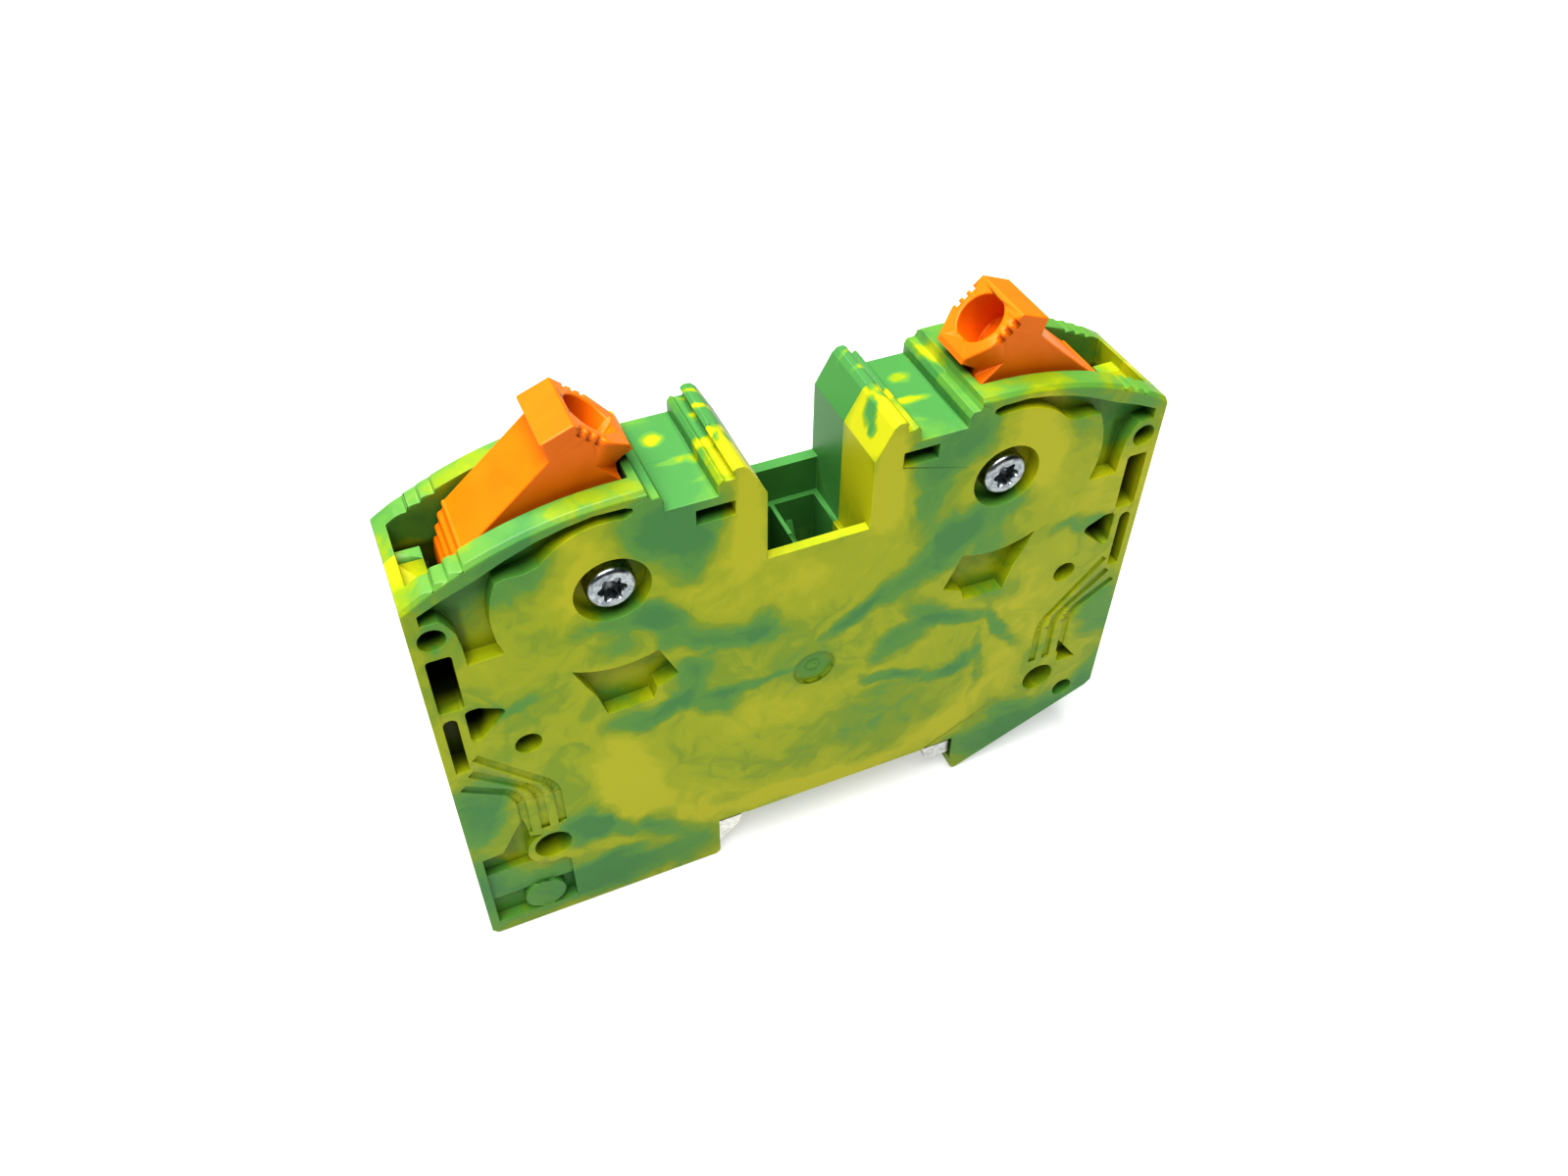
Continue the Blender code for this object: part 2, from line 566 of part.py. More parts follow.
def earth_foot(paint):
    """Tee under the busbar, stem, flange over the rail, and the fixed claw."""
    under_bar = BAR_LOW - GAP
    tee = [(-9.8, under_bar), (-9.8, 33.6), (-0.75, 33.6), (-0.75, FOOT_HIGH)]
    left = [(-20.0, FOOT_HIGH), (-20.0, 1.2), (-13.4, 1.2), (-10.1, 4.5), (-9.8, 6.2)]
    left += [(-18.5, 6.2), (-18.5, FOOT_LOW)]
    right = [(22.9, FOOT_LOW), (22.9, 16.2), (25.2, 16.2), (25.2, 17.4), (21.7, 17.4)]
    right += [(21.7, FOOT_HIGH), (0.75, FOOT_HIGH), (0.75, 33.6), (9.8, 33.6)]
    outline = tee + left + right + [(9.8, under_bar)]
    foot = prism("earth_foot", outline, -4.5, 4.5, paint)
    claw = [(-20.0, 1.2), (-13.4, 1.2), (-10.1, 4.5), (-9.8, 6.2), (-20.0, 6.2)]
    fuse(foot, prism("fixed_claw", claw, -CLAW_HALF, CLAW_HALF))
    flat = ((1, 0, 0), (0, 1, 0), (0, 0, 1), (0, 0, 0))
    for label, side in SIDES.items():
        hole = circle((side * 7.6, 0), 1.3, 20)
        cut([foot], prism(f"foot_rivet_hole_{label}", hole, 30, 40, axes=flat))


def rivet(label, side, paint):
    head, shank = 1.9, 1.0
    low, under, over, high = 32.5, 33.3, 37.7, 38.5
    profile = [(0, low), (head, low), (head, under), (shank, under), (shank, over)]
    profile += [(head, over), (head, high), (0, high)]
    middle = 35.0
    shifted = [(radius, z - middle) for radius, z in profile]
    turned(f"foot_rivet_{label}", shifted, (side * 7.6, middle), paint, True, 20)


def rail_latch(steel):
    """The sprung claw that snaps under the rail's right flange."""
    leaf = [(24.0, 15.7), (25.2, 15.7), (25.2, 3.4), (20.0, 3.4), (19.2, 3.9), (18.5, 6.2)]
    leaf += [(24.0, 6.2)]
    prism("rail_latch", leaf, -CLAW_HALF, CLAW_HALF, steel, LATCH_PIVOT)


def main():
    clear_scene()
    green = material("green_yellow_plastic", (0.33, 0.40, 0.05), 0.45)
    orange = material("orange_plastic", (0.80, 0.20, 0.01), 0.45)
    zinc = material("zinc_plated_steel", (0.75, 0.76, 0.78), 0.25, 1.0)
    spring = material("spring_steel", (0.55, 0.55, 0.56), 0.3, 1.0)
    tin = material("tinned_copper", (0.72, 0.70, 0.66), 0.35, 1.0)
    housing(green)
    busbar(tin)
    earth_foot(tin)
    rail_latch(spring)
    for label, side in SIDES.items():
        lever(label, side, orange)
        axle(label, side, zinc)
        spring_base(label, side, spring)
        spring_leg(label, side, spring)
        yoke(label, side, spring)
        rivet(label, side, tin)


main()
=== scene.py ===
"""Earth terminal block for a 35 mm rail: its looks, light and camera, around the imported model.

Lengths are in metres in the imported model's frame: X along the block, -Y its front, Z up.
Positions given in millimetres are multiplied by MM where they are used.
"""

from math import cos, degrees, pi, radians, sin

import bmesh
import bpy
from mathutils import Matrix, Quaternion, Vector


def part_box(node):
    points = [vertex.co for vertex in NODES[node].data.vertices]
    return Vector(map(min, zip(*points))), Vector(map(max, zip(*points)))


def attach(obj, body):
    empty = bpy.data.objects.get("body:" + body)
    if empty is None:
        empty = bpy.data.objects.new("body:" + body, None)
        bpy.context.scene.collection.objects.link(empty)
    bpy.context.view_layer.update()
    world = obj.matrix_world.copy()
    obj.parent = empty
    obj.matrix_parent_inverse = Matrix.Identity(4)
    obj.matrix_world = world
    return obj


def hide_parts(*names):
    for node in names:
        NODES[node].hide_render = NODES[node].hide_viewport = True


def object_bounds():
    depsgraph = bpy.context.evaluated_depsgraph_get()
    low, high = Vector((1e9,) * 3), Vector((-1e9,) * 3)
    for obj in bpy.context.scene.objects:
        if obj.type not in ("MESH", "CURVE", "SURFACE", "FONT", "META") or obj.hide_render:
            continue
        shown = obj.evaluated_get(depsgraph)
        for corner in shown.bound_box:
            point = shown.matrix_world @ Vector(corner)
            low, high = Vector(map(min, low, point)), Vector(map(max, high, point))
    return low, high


MM = 0.001
SIDES = {"left": -1, "right": 1}

# Rounded edges
SHARP = radians(32)  # edges that turn by more than this are rounded
SHELL_SHARP = radians(22)
CREASE = 1.25  # times that angle is where the shading breaks
SEAM = 0.06 * MM  # corners nearer than this to y = 0 lie on the seam between the shells
SEAM_LEFT = 0.1  # how much of the shells' gap is kept: a real seam is pressed shut
SHALLOW = 0.6 * MM  # walls lower than this stay square
THIN_WALL = ((40.4, 43.2), (44.6, 45.7))  # x and z range between the end slot and the pocket

GATE_HEIGHT = 33.4  # of the disc in the middle of the front
GATE_DEPTH = 0.5
FLOOR_GREY = 0.42
FLOOR_GLOW = 0.36
BACKDROP_RADIUS = 1.3
BACKDROP_HEIGHT = 4.0
BELOW_FLOOR = 0.1  # how far the backdrop reaches under the floor

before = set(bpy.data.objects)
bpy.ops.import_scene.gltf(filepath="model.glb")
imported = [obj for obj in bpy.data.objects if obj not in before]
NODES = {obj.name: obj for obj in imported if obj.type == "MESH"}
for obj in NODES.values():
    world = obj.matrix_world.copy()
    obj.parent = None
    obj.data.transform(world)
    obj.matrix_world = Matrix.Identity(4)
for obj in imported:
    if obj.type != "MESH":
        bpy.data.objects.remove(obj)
CAD_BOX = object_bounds()


# ---------------------------------------------------------------- shader graphs

class Graph:
    """One material's node tree, with short calls to add nodes to it."""

    def __init__(self, name):
        self.material = bpy.data.materials.new(name)
        self.material.use_nodes = True
        self.tree = self.material.node_tree
        self.shader = self.tree.nodes["Principled BSDF"]

    def put(self, socket, value):
        if isinstance(value, bpy.types.NodeSocket):
            self.tree.links.new(value, socket)
        else:
            socket.default_value = value

    def add(self, kind, inputs=(), **settings):
        node = self.tree.nodes.new("ShaderNode" + kind)
        for key, value in settings.items():
            setattr(node, key, value)
        for key, value in dict(inputs).items():
            self.put(node.inputs[key], value)
        return node

    def math(self, operation, a, b=0.0, c=0.0, clamp=False):
        made = self.add("Math", {0: a, 1: b, 2: c}, operation=operation, use_clamp=clamp)
        return made.outputs[0]

    def vector(self, operation, a, b=(0, 0, 0)):
        return self.add("VectorMath", {0: a, 1: b}, operation=operation).outputs[0]

    def place(self):
        """The point in millimetres in the frame of the model."""
        coords = self.add("TexCoord").outputs["Object"]
        return self.vector("MULTIPLY", coords, (1 / MM,) * 3)

    def noise(self, where, scale, detail=2.0, roughness=0.5, distortion=0.0):
        return self.add("TexNoise", {
            "Vector": where, "Scale": scale, "Detail": detail,
            "Roughness": roughness, "Distortion": distortion,
        })

    def warped(self, where, scale, reach):
        """where, pushed about by up to reach millimetres."""
        push = self.noise(where, scale, 2.0).outputs["Color"]
        push = self.vector("SUBTRACT", push, (0.5, 0.5, 0.5))
        return self.vector("ADD", where, self.vector("MULTIPLY", push, (reach,) * 3))

    def ramp(self, factor, stops):
        """stops are (position, colour), with colours in linear RGB."""
        made = self.add("ValToRGB", {0: factor})
        made.color_ramp.interpolation = "EASE"
        while len(made.color_ramp.elements) < len(stops):
            made.color_ramp.elements.new(1.0)
        for element, (position, colour) in zip(made.color_ramp.elements, stops):
            element.position = position
            element.color = (*colour, 1.0)
        return made.outputs[0]

    def bump(self, heights):
        """Chains (height, distance in metres, strength) into one normal."""
        normal = None
        for height, distance, strength in heights:
            inputs = {"Height": height, "Distance": distance, "Strength": strength}
            if normal:
                inputs["Normal"] = normal
            normal = self.add("Bump", inputs).outputs[0]
        return normal

    def finish(self, **inputs):
        for key, value in inputs.items():
            self.put(self.shader.inputs[key.replace("_", " ")], value)
        return self.material


# ---------------------------------------------------------------- materials

YELLOW = (0.41, 0.41, 0.012)
LIGHT_OLIVE = (0.31, 0.355, 0.008)
OLIVE = (0.215, 0.300, 0.014)
GREEN = (0.115, 0.27, 0.050)
DEEP_GREEN = (0.070, 0.22, 0.060)

# Where the plastic runs green (positive weight) or yellow, in millimetres. Seen from the front:
# x, z, half width, half height, tilt in degrees, weight. Both ends share the first list,
# since both fill from the gate in the middle.
BOTH_ENDS = [
    (30, 68.5, 15, 4.5, -18, 1.0), (17, 63.5, 7, 6.5, 0, 1.2), (36, 62, 9, 4, -15, 0.6),
    (21, 51, 8, 3.2, 10, 0.9), (16.5, 47, 3.4, 8, -38, 1.0), (9, 43, 6, 3, 20, 0.9),
    (24, 47, 5, 3, 0, 0.6), (17, 37, 6.5, 3, -50, 0.9), (13, 33, 6, 3.4, 20, 1.0),
    (21, 33.5, 8, 2.2, -10, 0.8), (25.5, 37, 4.5, 3, 0, 0.6), (43.5, 27, 5, 9, 12, 1.1),
    (45.5, 12, 4, 7, 0, 0.7), (37, 5, 17, 8, 6, 1.2), (38, 44, 7, 1.8, 0, 0.7),
    (9, 60, 3.5, 9, 0, -0.4), (36, 50, 8, 8, 0, -0.25), (27, 57, 6, 6, 0, -0.3),
]
FRONT_ONLY = [
    (0, 20, 21, 9, 0, 0.5), (0, 48, 16, 5, 0, -0.35), (-25, 23, 5, 12, 8, -0.7),
    (21, 13, 10, 5, 35, -0.7), (0, 8.8, 20, 2.8, 0, -0.8), (10.5, 26.8, 7, 1.5, -24, 0.9),
    (20, 24, 6, 1.6, 10, 1.0), (28.8, 28, 1.9, 8, 25, 0.9), (24.6, 22, 1.2, 10, 2, 0.5),
    (-26, 13.5, 11, 2.6, -40, 1.0), (-31, 17.5, 6, 4.4, 0, 0.9), (-21.5, 12, 2.2, 3.6, 30, 0.7),
    (-24, 4.5, 14, 6, 0, 1.1), (-24, 6.5, 7, 1.6, 5, -0.5), (0, 34, 7.5, 6, 0, 0.35),
    (-8, 34.6, 7, 1.1, 0, 0.8), (3, 39.5, 3.5, 1.6, 30, 0.6), (14.5, 56.5, 2.6, 6, 0, 0.8),
    (-15, 58, 2.8, 4.5, 0, 1.0), (-7, 44.5, 2.6, 3.6, 0, 0.5), (31.5, 12, 4.5, 2.6, 0, 0.5),
    (31, 18, 3, 5, 0, -0.3), (6, 42, 5, 2, 30, 0.7),
]
REAR_ONLY = [(0, 64, 15.5, 24, 0, 3.2), (30, 70, 12, 5, -15, -0.4), (-31, 69, 10, 5, 15, -0.5)]
GATE_DISC = [(0, GATE_HEIGHT, 3.3, 3.3, 0, 0.2)]
# Seen from above: x, y, half length, half width, turn in degrees, weight. The first list is for
# everything over UPPER and fades in over a few millimetres. The second paints painted shade,
# the darkest green, into the wells of the notch at every height.
UPPER = (53.0, 57.0)
FROM_ABOVE = [
    (14, 1, 9, 11, 0, 0.75), (15.2, 3.7, 2.0, 1.6, 0, -2.0), (14.5, -0.6, 3.4, 0.9, -5, -1.5),
    (13.3, -4.5, 2.0, 0.5, -10, -0.5), (8.6, -3.8, 3.6, 5.4, 0, -1.3),
    (9.6, -1.2, 0.7, 3.0, 12, 1.2), (11, -1.2, 2.2, 0.9, 0, -1.4), (19, 4.5, 1.1, 4.5, 8, -1.3),
    (28, -6.6, 5, 2.6, -10, -0.7), (45.0, 2.0, 3.5, 5, 0, -0.6), (43, -6.5, 5, 3.5, 0, 0.6),
    (8.0, -3.0, 1.0, 2.2, -20, 2.6), (7.5, -5.0, 0.8, 1.2, 10, 2.2),
    (8.8, 3.2, 2.6, 0.7, 24, -1.9), (8.8, 6.2, 2.6, 0.6, 24, -1.6),
    (37, 6.6, 9, 2.6, 0, -0.6), (10.2, 3.6, 0.8, 1.2, 0, -0.9), (0, 7.4, 9, 2.6, 0, 1.0),
]
# Painted shade: the wells of the notch between the levers are pushed to the darkest green.
NOTCH_SHADE = [(0, 0.5, 6.2, 7.0, 0, 1.3)]
STAIN = 0.45  # how far a weight of 1 moves the mix of the two plastics
PLATEAU = 1.6  # above 1, the middle of each patch is level

# Where the painted shade lies in the narrow slots and holes: axis, edge, and where the painted
# shade is full, all as distances from the middle of the block except Z.
SLOT_SHADE_BOUNDS = [("X", 40.0, 40.6), ("X", 46.0, 45.7), ("Y", 7.2, 4.6), ("Z", 12.0, 14.0),
         ("Z", 59.4, 58.6)]
# Painted shade deep in the slots: how strong it is, and the near-black colour it paints.
PAINTED_SLOT_SHADE = 0.85
PAINTED_SHADE_COLOUR = (0.006, 0.012, 0.001, 1.0)


def blobs(graph, where, table, above=False):
    """The sum of soft ellipses, each level in its middle and reaching its weight there."""
    total = 0.0
    for a, b, half_a, half_b, tilt, weight in table:
        at, reach, turn = (a, 0, b), (half_a, 1e6, half_b), (0, -radians(tilt), 0)
        if above:
            at, reach, turn = (a, b, 0), (half_a, half_b, 1e6), (0, 0, radians(tilt))
        inside = graph.add("Mapping", {
            "Vector": where, "Location": at, "Rotation": turn, "Scale": reach,
        }, vector_type="TEXTURE").outputs[0]
        ball = graph.add("TexGradient", {"Vector": inside}, gradient_type="SPHERICAL")
        level = graph.math("MULTIPLY", ball.outputs["Fac"], PLATEAU, clamp=True)
        total = graph.math("MULTIPLY_ADD", level, weight, total)
    return total


def at_both_ends(table):
    return [(side * x, other, a, b, side * tilt, weight)
            for side in SIDES.values() for x, other, a, b, tilt, weight in table]


def painted_slot_shade(graph, place):
    """How much painted shade, painted into the colour, a point gets for lying deep in the slots
    and holes beside the end walls.
    """
    at = graph.add("SeparateXYZ", {0: graph.vector("ABSOLUTE", place)}).outputs
    inside = PAINTED_SLOT_SHADE
    for axis, outer, inner in SLOT_SHADE_BOUNDS:
        level = graph.add("MapRange", {"Value": at[axis], "From Min": outer, "From Max": inner})
        inside = graph.math("MULTIPLY", level.outputs[0], inside)
    return inside


def marbled_plastic(name, shift, greener, front):
    """Green and yellow plastic mixed in the mould, streaked along the flow from the gate."""
    graph = Graph(name)
    place = graph.place()
    flow = graph.vector("ADD", place, shift)
    flow = graph.warped(flow, 0.06, 8)
    flow = graph.warped(flow, 0.20, 4)
    flow = graph.warped(flow, 0.6, 0.7)
    here = graph.vector("SUBTRACT", flow, shift)
    seen = at_both_ends(BOTH_ENDS) + (FRONT_ONLY if front else REAR_ONLY)
    stains = blobs(graph, here, seen)
    deck = graph.warped(graph.warped(place, 0.3, 1.2), 1.0, 0.4)
    top = blobs(graph, deck, at_both_ends(FROM_ABOVE), above=True)
    height = graph.add("SeparateXYZ", {0: place}).outputs["Z"]
    upper = graph.add("MapRange", {"Value": height, "From Min": UPPER[0], "From Max": UPPER[1]})
    broad = graph.noise(flow, 0.05, 2.0, 0.5, 0.6).outputs["Fac"]
    swirls = graph.noise(flow, 0.16, 3.0, 0.55, 1.6).outputs["Fac"]
    swirls = graph.math("SUBTRACT", swirls, 0.5)
    # Painted shade in the notch's wells, added to the mix towards the darkest green.
    well_shade = blobs(graph, place, NOTCH_SHADE, above=True)
    veins = graph.noise(flow, 0.10, 0.0, 0.5, 0.8).outputs["Fac"]
    vein = graph.math("ABSOLUTE", graph.math("SUBTRACT", veins, 0.5))
    vein = graph.math("MULTIPLY_ADD", vein, -22.0, 1.0, clamp=True)
    mask = graph.math("MULTIPLY_ADD", broad, 0.9 if front else 2.4, greener)
    mask = graph.math("MULTIPLY_ADD", stains, STAIN, mask)
    mask = graph.math("MULTIPLY_ADD", swirls, 0.5, mask)
    mask = graph.math("MULTIPLY_ADD", graph.math("MULTIPLY", top, upper.outputs[0]), STAIN, mask)
    mask = graph.math("MULTIPLY_ADD", vein, 0.06, graph.math("ADD", mask, well_shade))
    if front:
        mask = graph.math("ADD", mask, blobs(graph, place, GATE_DISC))
    colour = graph.ramp(mask, [
        (0.05, YELLOW), (0.28, LIGHT_OLIVE), (0.42, OLIVE), (0.62, GREEN), (0.95, DEEP_GREEN),
    ])
    # Painted shade: deep in the slots and holes the colour is mixed towards near black.
    colour = graph.add("Mix", {
        "Factor": painted_slot_shade(graph, place), 6: colour, 7: PAINTED_SHADE_COLOUR,
    }, data_type="RGBA").outputs[2]
    grain = graph.noise(place, 9.0, 3.0, 0.6).outputs["Fac"]
    waves = graph.noise(place, 0.35, 1.0).outputs["Fac"]
    roughness = graph.math("MULTIPLY_ADD", grain, 0.10, 0.36)
    normal = graph.bump([(waves, 0.00005, 0.3), (grain, 0.000006, 0.5)])
    return graph.finish(
        Base_Color=colour, Roughness=roughness, Normal=normal, Specular_IOR_Level=0.3,
    )


def lever_plastic():
    graph = Graph("orange_plastic")
    place = graph.place()
    cloud = graph.noise(place, 0.16, 2.0, 0.5, 0.5).outputs["Fac"]
    colour = graph.ramp(cloud, [(0.3, (0.62, 0.150, 0.0015)), (0.7, (0.67, 0.172, 0.003))])
    grain = graph.noise(place, 8.0, 3.0, 0.6).outputs["Fac"]
    roughness = graph.math("MULTIPLY_ADD", grain, 0.10, 0.36)
    normal = graph.bump([(grain, 0.000008, 0.5)])
    return graph.finish(
        Base_Color=colour, Roughness=roughness, Normal=normal, Specular_IOR_Level=0.3,
    )


def metal(name, dark, light, roughness, streak):
    """Plated or bare sheet: streak is (x, y, z) scales of its surface marks, per millimetre."""
    graph = Graph(name)
    place = graph.place()
    lined = graph.vector("MULTIPLY", place, streak)
    lines = graph.noise(lined, 1.0, 4.0, 0.65).outputs["Fac"]
    spots = graph.noise(place, 1.3, 3.0, 0.6, 0.8).outputs["Fac"]
    colour = graph.ramp(spots, [(0.35, dark), (0.65, light)])
    rough = graph.math("MULTIPLY_ADD", lines, 0.22, roughness - 0.11)
    normal = graph.bump([(lines, 0.00001, 0.5), (spots, 0.00002, 0.3)])
    return graph.finish(Base_Color=colour, Metallic=1.0, Roughness=rough, Normal=normal)


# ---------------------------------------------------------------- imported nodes

def dress(name, paint, edge=None):
    """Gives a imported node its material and, where edge is a width, its rounded edges."""
    node = NODES[name]
    for slot in node.material_slots:
        slot.material = paint
    if edge:
        node.modifiers.new("weld", "WELD").merge_threshold = 1e-6
        flat = node.modifiers.new("flat", "DECIMATE")
        flat.decimate_type = "DISSOLVE"
        flat.angle_limit = radians(0.5)
        node.modifiers.new("triangles", "TRIANGULATE").ngon_method = "BEAUTY"
        bevel = round_edges(node, edge, 2)
        bevel.limit_method = "ANGLE"
        bevel.angle_limit = SHARP


def round_edges(thing, width, segments):
    bevel = thing.modifiers.new("edges", "BEVEL")
    bevel.width = width
    bevel.segments = segments
    bevel.use_clamp_overlap = False
    bevel.miter_outer = "MITER_ARC"
    bevel.face_strength_mode = "FSTR_AFFECTED"
    normals = thing.modifiers.new("normals", "WEIGHTED_NORMAL")
    normals.keep_sharp = True
    normals.use_face_influence = True
    normals.weight = 100
    return bevel


def stays_sharp(edge):
    """True on the seam, the walls of shallow marks, and the wall too thin to be rounded."""
    across, up = THIN_WALL
    if all(across[0] < abs(corner.co.x) / MM < across[1] and up[0] < corner.co.z / MM < up[1]
           for corner in edge.verts):
        return True
    if max(abs(corner.co.y) for corner in edge.verts) < SEAM:
        return True
    for face in edge.link_faces:
        depths = [corner.co.y for corner in face.verts]
        if abs(face.normal.y) < 0.3 and max(depths) - min(depths) < SHALLOW:
            return True
    return False


def moulded(name, node, paint, body, width, segments=2, sharp=SHARP):
    """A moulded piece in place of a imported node: its own shape with rounded edges."""
    build = bmesh.new()
    build.from_mesh(NODES[node].data)
    bmesh.ops.remove_doubles(build, verts=build.verts, dist=1e-6)
    for corner in build.verts:
        if abs(corner.co.y) < SEAM:
            corner.co.y *= SEAM_LEFT
    bmesh.ops.dissolve_limit(
        build, angle_limit=radians(0.5), verts=build.verts, edges=build.edges,
    )
    weight = build.edges.layers.float.new("bevel_weight_edge")
    for edge in build.edges:
        turned = len(edge.link_faces) == 2 and edge.calc_face_angle() > sharp
        edge[weight] = 1.0 if turned and not stays_sharp(edge) else 0.0
    bmesh.ops.triangulate(build, faces=build.faces, ngon_method="BEAUTY")
    made = piece(name, build, paint, body, smooth=CREASE * degrees(sharp))
    round_edges(made, width, segments).limit_method = "WEIGHT"
    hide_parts(node)
    return made


# ---------------------------------------------------------------- pieces

def piece(name, build, paint, body, smooth=40):
    """Closes a bmesh, in the frame's metres, into a piece that rides on a body."""
    bmesh.ops.recalc_face_normals(build, faces=build.faces)
    mesh = bpy.data.meshes.new(name)
    build.to_mesh(mesh)
    build.free()
    mesh.shade_smooth()
    mesh.set_sharp_from_angle(angle=radians(smooth))
    mesh.materials.append(paint)
    made = bpy.data.objects.new(name, mesh)
    bpy.context.scene.collection.objects.link(made)
    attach(made, body)
    return made


def lathe(rings, centre, steps=96):
    """A bmesh through rings of (radius or function of angle, y), about the Y axis at centre."""
    build = bmesh.new()
    layers = []
    for reach, y in rings:
        layer = []
        for i in range(steps if reach else 1):
            turn = 2 * pi * i / steps
            r = reach(turn) if callable(reach) else reach
            at = Vector((r * cos(turn), y, r * sin(turn)))
            layer.append(build.verts.new(centre + at * MM))
        layers.append(layer)
    for first, second in zip(layers, layers[1:]):
        for i in range(steps):
            j = (i + 1) % steps
            corners = [first[i % len(first)], first[j % len(first)]]
            corners += [second[j % len(second)], second[i % len(second)]]
            build.faces.new(list(dict.fromkeys(corners)))
    return build


def star(middle, lobe):
    """Radius of a six-lobed socket at an angle."""
    return lambda turn: middle + lobe * cos(6 * turn) + 0.05 * lobe * cos(12 * turn)


def screw(label, paint):
    """Pan head with a rounded edge and a six-lobed socket, and the plain shank behind it."""
    low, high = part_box(f"axle_screw_{label}")
    centre = Vector(((low.x + high.x) / 2, 0, (low.z + high.z) / 2))
    head = (high.x - low.x) / 2 / MM
    top, back = low.y / MM, high.y / MM
    under = top + 2.0
    rings = [(0, top + 1.75), (star(0.9, 0.12), top + 1.7), (star(1.34, 0.22), top + 1.55)]
    rings += [(star(1.40, 0.23), top + 0.16), (star(1.52, 0.20), top + 0.04)]
    rings += [(1.85, top), (head - 0.75, top)]
    for i in range(1, 7):
        turn = i * pi / 12
        rings.append((head - 0.75 + 0.75 * sin(turn), top + 0.75 * (1 - cos(turn))))
    rings += [(head, under - 0.1), (head - 0.1, under), (1.5, under), (1.5, back - 0.3)]
    rings += [(1.2, back), (0, back)]
    made = piece(f"screw_{label}", lathe(rings, centre), paint, "block", 35)
    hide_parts(f"axle_screw_{label}")


def gate_mark(paint):
    """The ring and the torn-off sprue in the shallow disc at the middle of the front."""
    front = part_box("housing_front")[0].y / MM
    floor = front + GATE_DEPTH
    middle = Vector((0, 0, GATE_HEIGHT * MM))
    rings = [(0, floor - 0.22), (0.16, floor - 0.20), (0.34, floor - 0.06), (0.42, floor)]
    rings += [(0.44, floor + 0.15), (0, floor + 0.15)]
    piece("gate_stub", lathe(rings, middle, 32), paint, "block")
    ring = [(0.82, floor + 0.1), (0.86, floor - 0.05), (0.95, floor - 0.10)]
    ring += [(1.04, floor - 0.05), (1.08, floor + 0.1), (0.82, floor + 0.1)]
    piece("gate_ring", lathe(ring, middle, 64), paint, "block")


# ---------------------------------------------------------------- stage

def floor():
    graph = Graph("floor_white")
    paint = graph.finish(
        Base_Color=(FLOOR_GREY, FLOOR_GREY, FLOOR_GREY, 1.0), Roughness=0.8,
        Emission_Color=(1.0, 1.0, 1.0, 1.0), Emission_Strength=FLOOR_GLOW,
    )
    build = bmesh.new()
    bmesh.ops.create_grid(build, x_segments=1, y_segments=1, size=3.0)
    mesh = bpy.data.meshes.new("floor")
    build.to_mesh(mesh)
    build.free()
    mesh.materials.append(paint)
    made = bpy.data.objects.new("floor", mesh)
    made.location.z = CAD_BOX[0].z - 0.0002
    bpy.context.scene.collection.objects.link(made)


def backdrop():
    """A pale wall all round, seen behind the block but giving it no light."""
    graph = Graph("backdrop_pale")
    paint = graph.finish(
        Base_Color=(0.0, 0.0, 0.0, 1.0), Specular_IOR_Level=0.0,
        Emission_Color=(1.0, 1.0, 1.0, 1.0), Emission_Strength=0.8,
    )
    build = bmesh.new()
    bmesh.ops.create_cone(
        build, segments=64, radius1=BACKDROP_RADIUS, radius2=BACKDROP_RADIUS,
        depth=BACKDROP_HEIGHT, cap_ends=False,
    )
    mesh = bpy.data.meshes.new("backdrop")
    build.to_mesh(mesh)
    build.free()
    mesh.materials.append(paint)
    made = bpy.data.objects.new("backdrop", mesh)
    made.location.z = BACKDROP_HEIGHT / 2 - BELOW_FLOOR
    for kind in ("diffuse", "glossy", "transmission", "volume_scatter", "shadow"):
        setattr(made, f"visible_{kind}", False)
    bpy.context.scene.collection.objects.link(made)


def softbox(name, place, size, power, aim):
    light = bpy.data.lights.new(name, "AREA")
    light.shape = "RECTANGLE"
    light.size, light.size_y = size
    light.energy = power
    made = bpy.data.objects.new(name, light)
    made.location = place
    made.rotation_mode = "QUATERNION"
    made.rotation_quaternion = (aim - made.location).to_track_quat("-Z", "Y")
    bpy.context.scene.collection.objects.link(made)


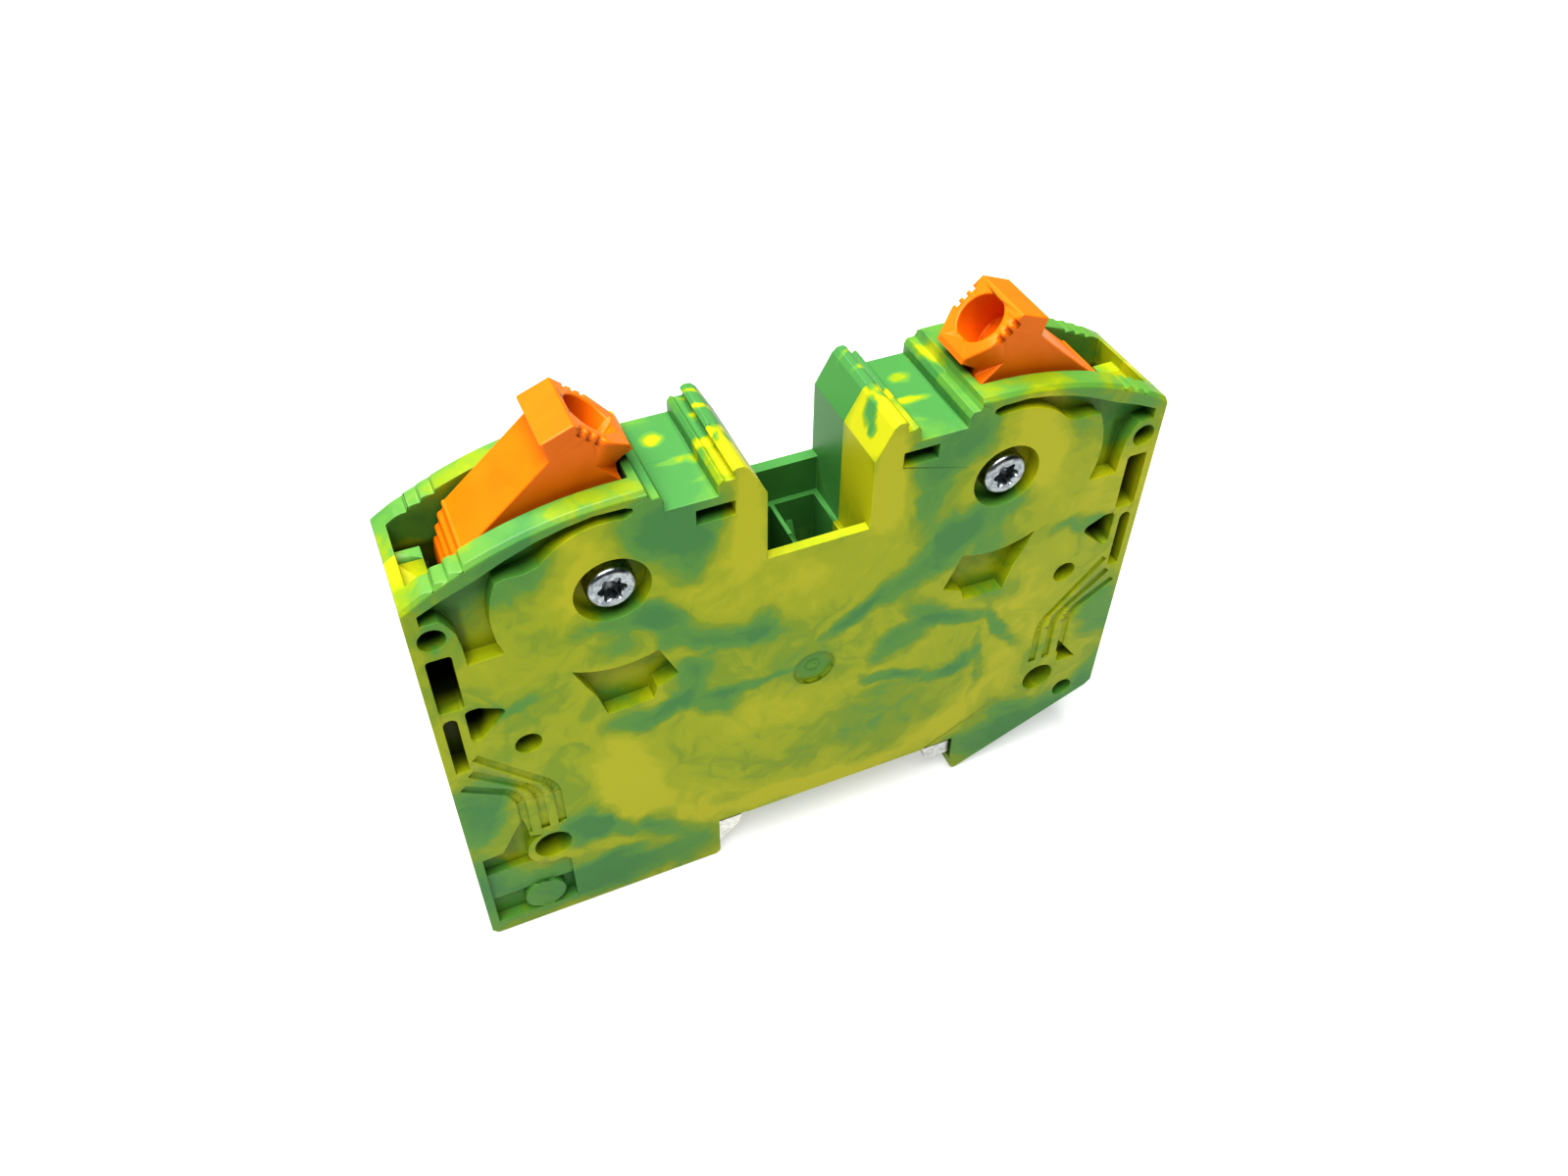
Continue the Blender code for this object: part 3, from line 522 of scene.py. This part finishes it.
def studio():
    world = bpy.data.worlds.new("studio")
    bpy.context.scene.world = world
    world.use_nodes = True
    background = world.node_tree.nodes["Background"]
    background.inputs["Color"].default_value = (1.0, 1.0, 1.0, 1.0)
    background.inputs["Strength"].default_value = 0.04
    middle = (CAD_BOX[0] + CAD_BOX[1]) / 2
    softbox("overhead", Vector((-0.15, 0.0, 0.75)), (1.0, 0.8), 15.7, middle)
    view = bpy.context.scene.view_settings
    view.view_transform = "Standard"
    view.look = "High Contrast"


def camera():
    data = bpy.data.cameras.new("camera")
    data.sensor_width = 36.0
    data.lens = 28.66
    made = bpy.data.objects.new("camera", data)
    made.location = (-0.04635, -0.10122, 0.15164)
    aim = Vector((0.00592, 0.01475, 0.02428))
    level = (aim - made.location).to_track_quat("-Z", "Y")
    made.rotation_mode = "QUATERNION"
    made.rotation_quaternion = level @ Quaternion((0, 0, 1), radians(0.90))
    bpy.context.scene.collection.objects.link(made)
    bpy.context.scene.camera = made


def main():
    front = marbled_plastic("marbled_front", (0, 0, 0), -0.18, True)
    rear = marbled_plastic("marbled_rear", (40, 90, 15), -0.82, False)
    orange = lever_plastic()
    zinc = metal("zinc_plate", (0.22, 0.25, 0.27), (0.42, 0.44, 0.44), 0.30, (0.6, 0.6, 0.6))
    tin = metal("tin_plate", (0.60, 0.59, 0.55), (0.80, 0.79, 0.76), 0.34, (0.3, 6.0, 0.3))
    spring = metal("spring_steel", (0.46, 0.46, 0.46), (0.62, 0.62, 0.62), 0.3, (0.3, 7.0, 0.3))
    for label, paint in (("front", front), ("rear", rear)):
        node = f"housing_{label}"
        moulded(f"shell_{label}", node, paint, "block", 0.10 * MM,
                 sharp=SHELL_SHARP)
    for label in SIDES:
        moulded(f"handle_{label}", f"lever_{label}", orange, f"{label}_lever",
                0.22 * MM, 3)
        for name in ("axle_screw", "axle_sleeve", "hex_nut"):
            dress(f"{name}_{label}", zinc, 0.08 * MM if name == "hex_nut" else None)
        for name in ("clamp_spring", "clamp_leg", "clamp_yoke"):
            dress(f"{name}_{label}", spring, 0.12 * MM)
        dress(f"foot_rivet_{label}", tin)
        screw(label, zinc)
    dress("busbar", tin, 0.12 * MM)
    dress("earth_foot", tin, 0.15 * MM)
    dress("rail_latch", spring, 0.15 * MM)
    gate_mark(front)
    floor()
    backdrop()
    studio()
    camera()


main()
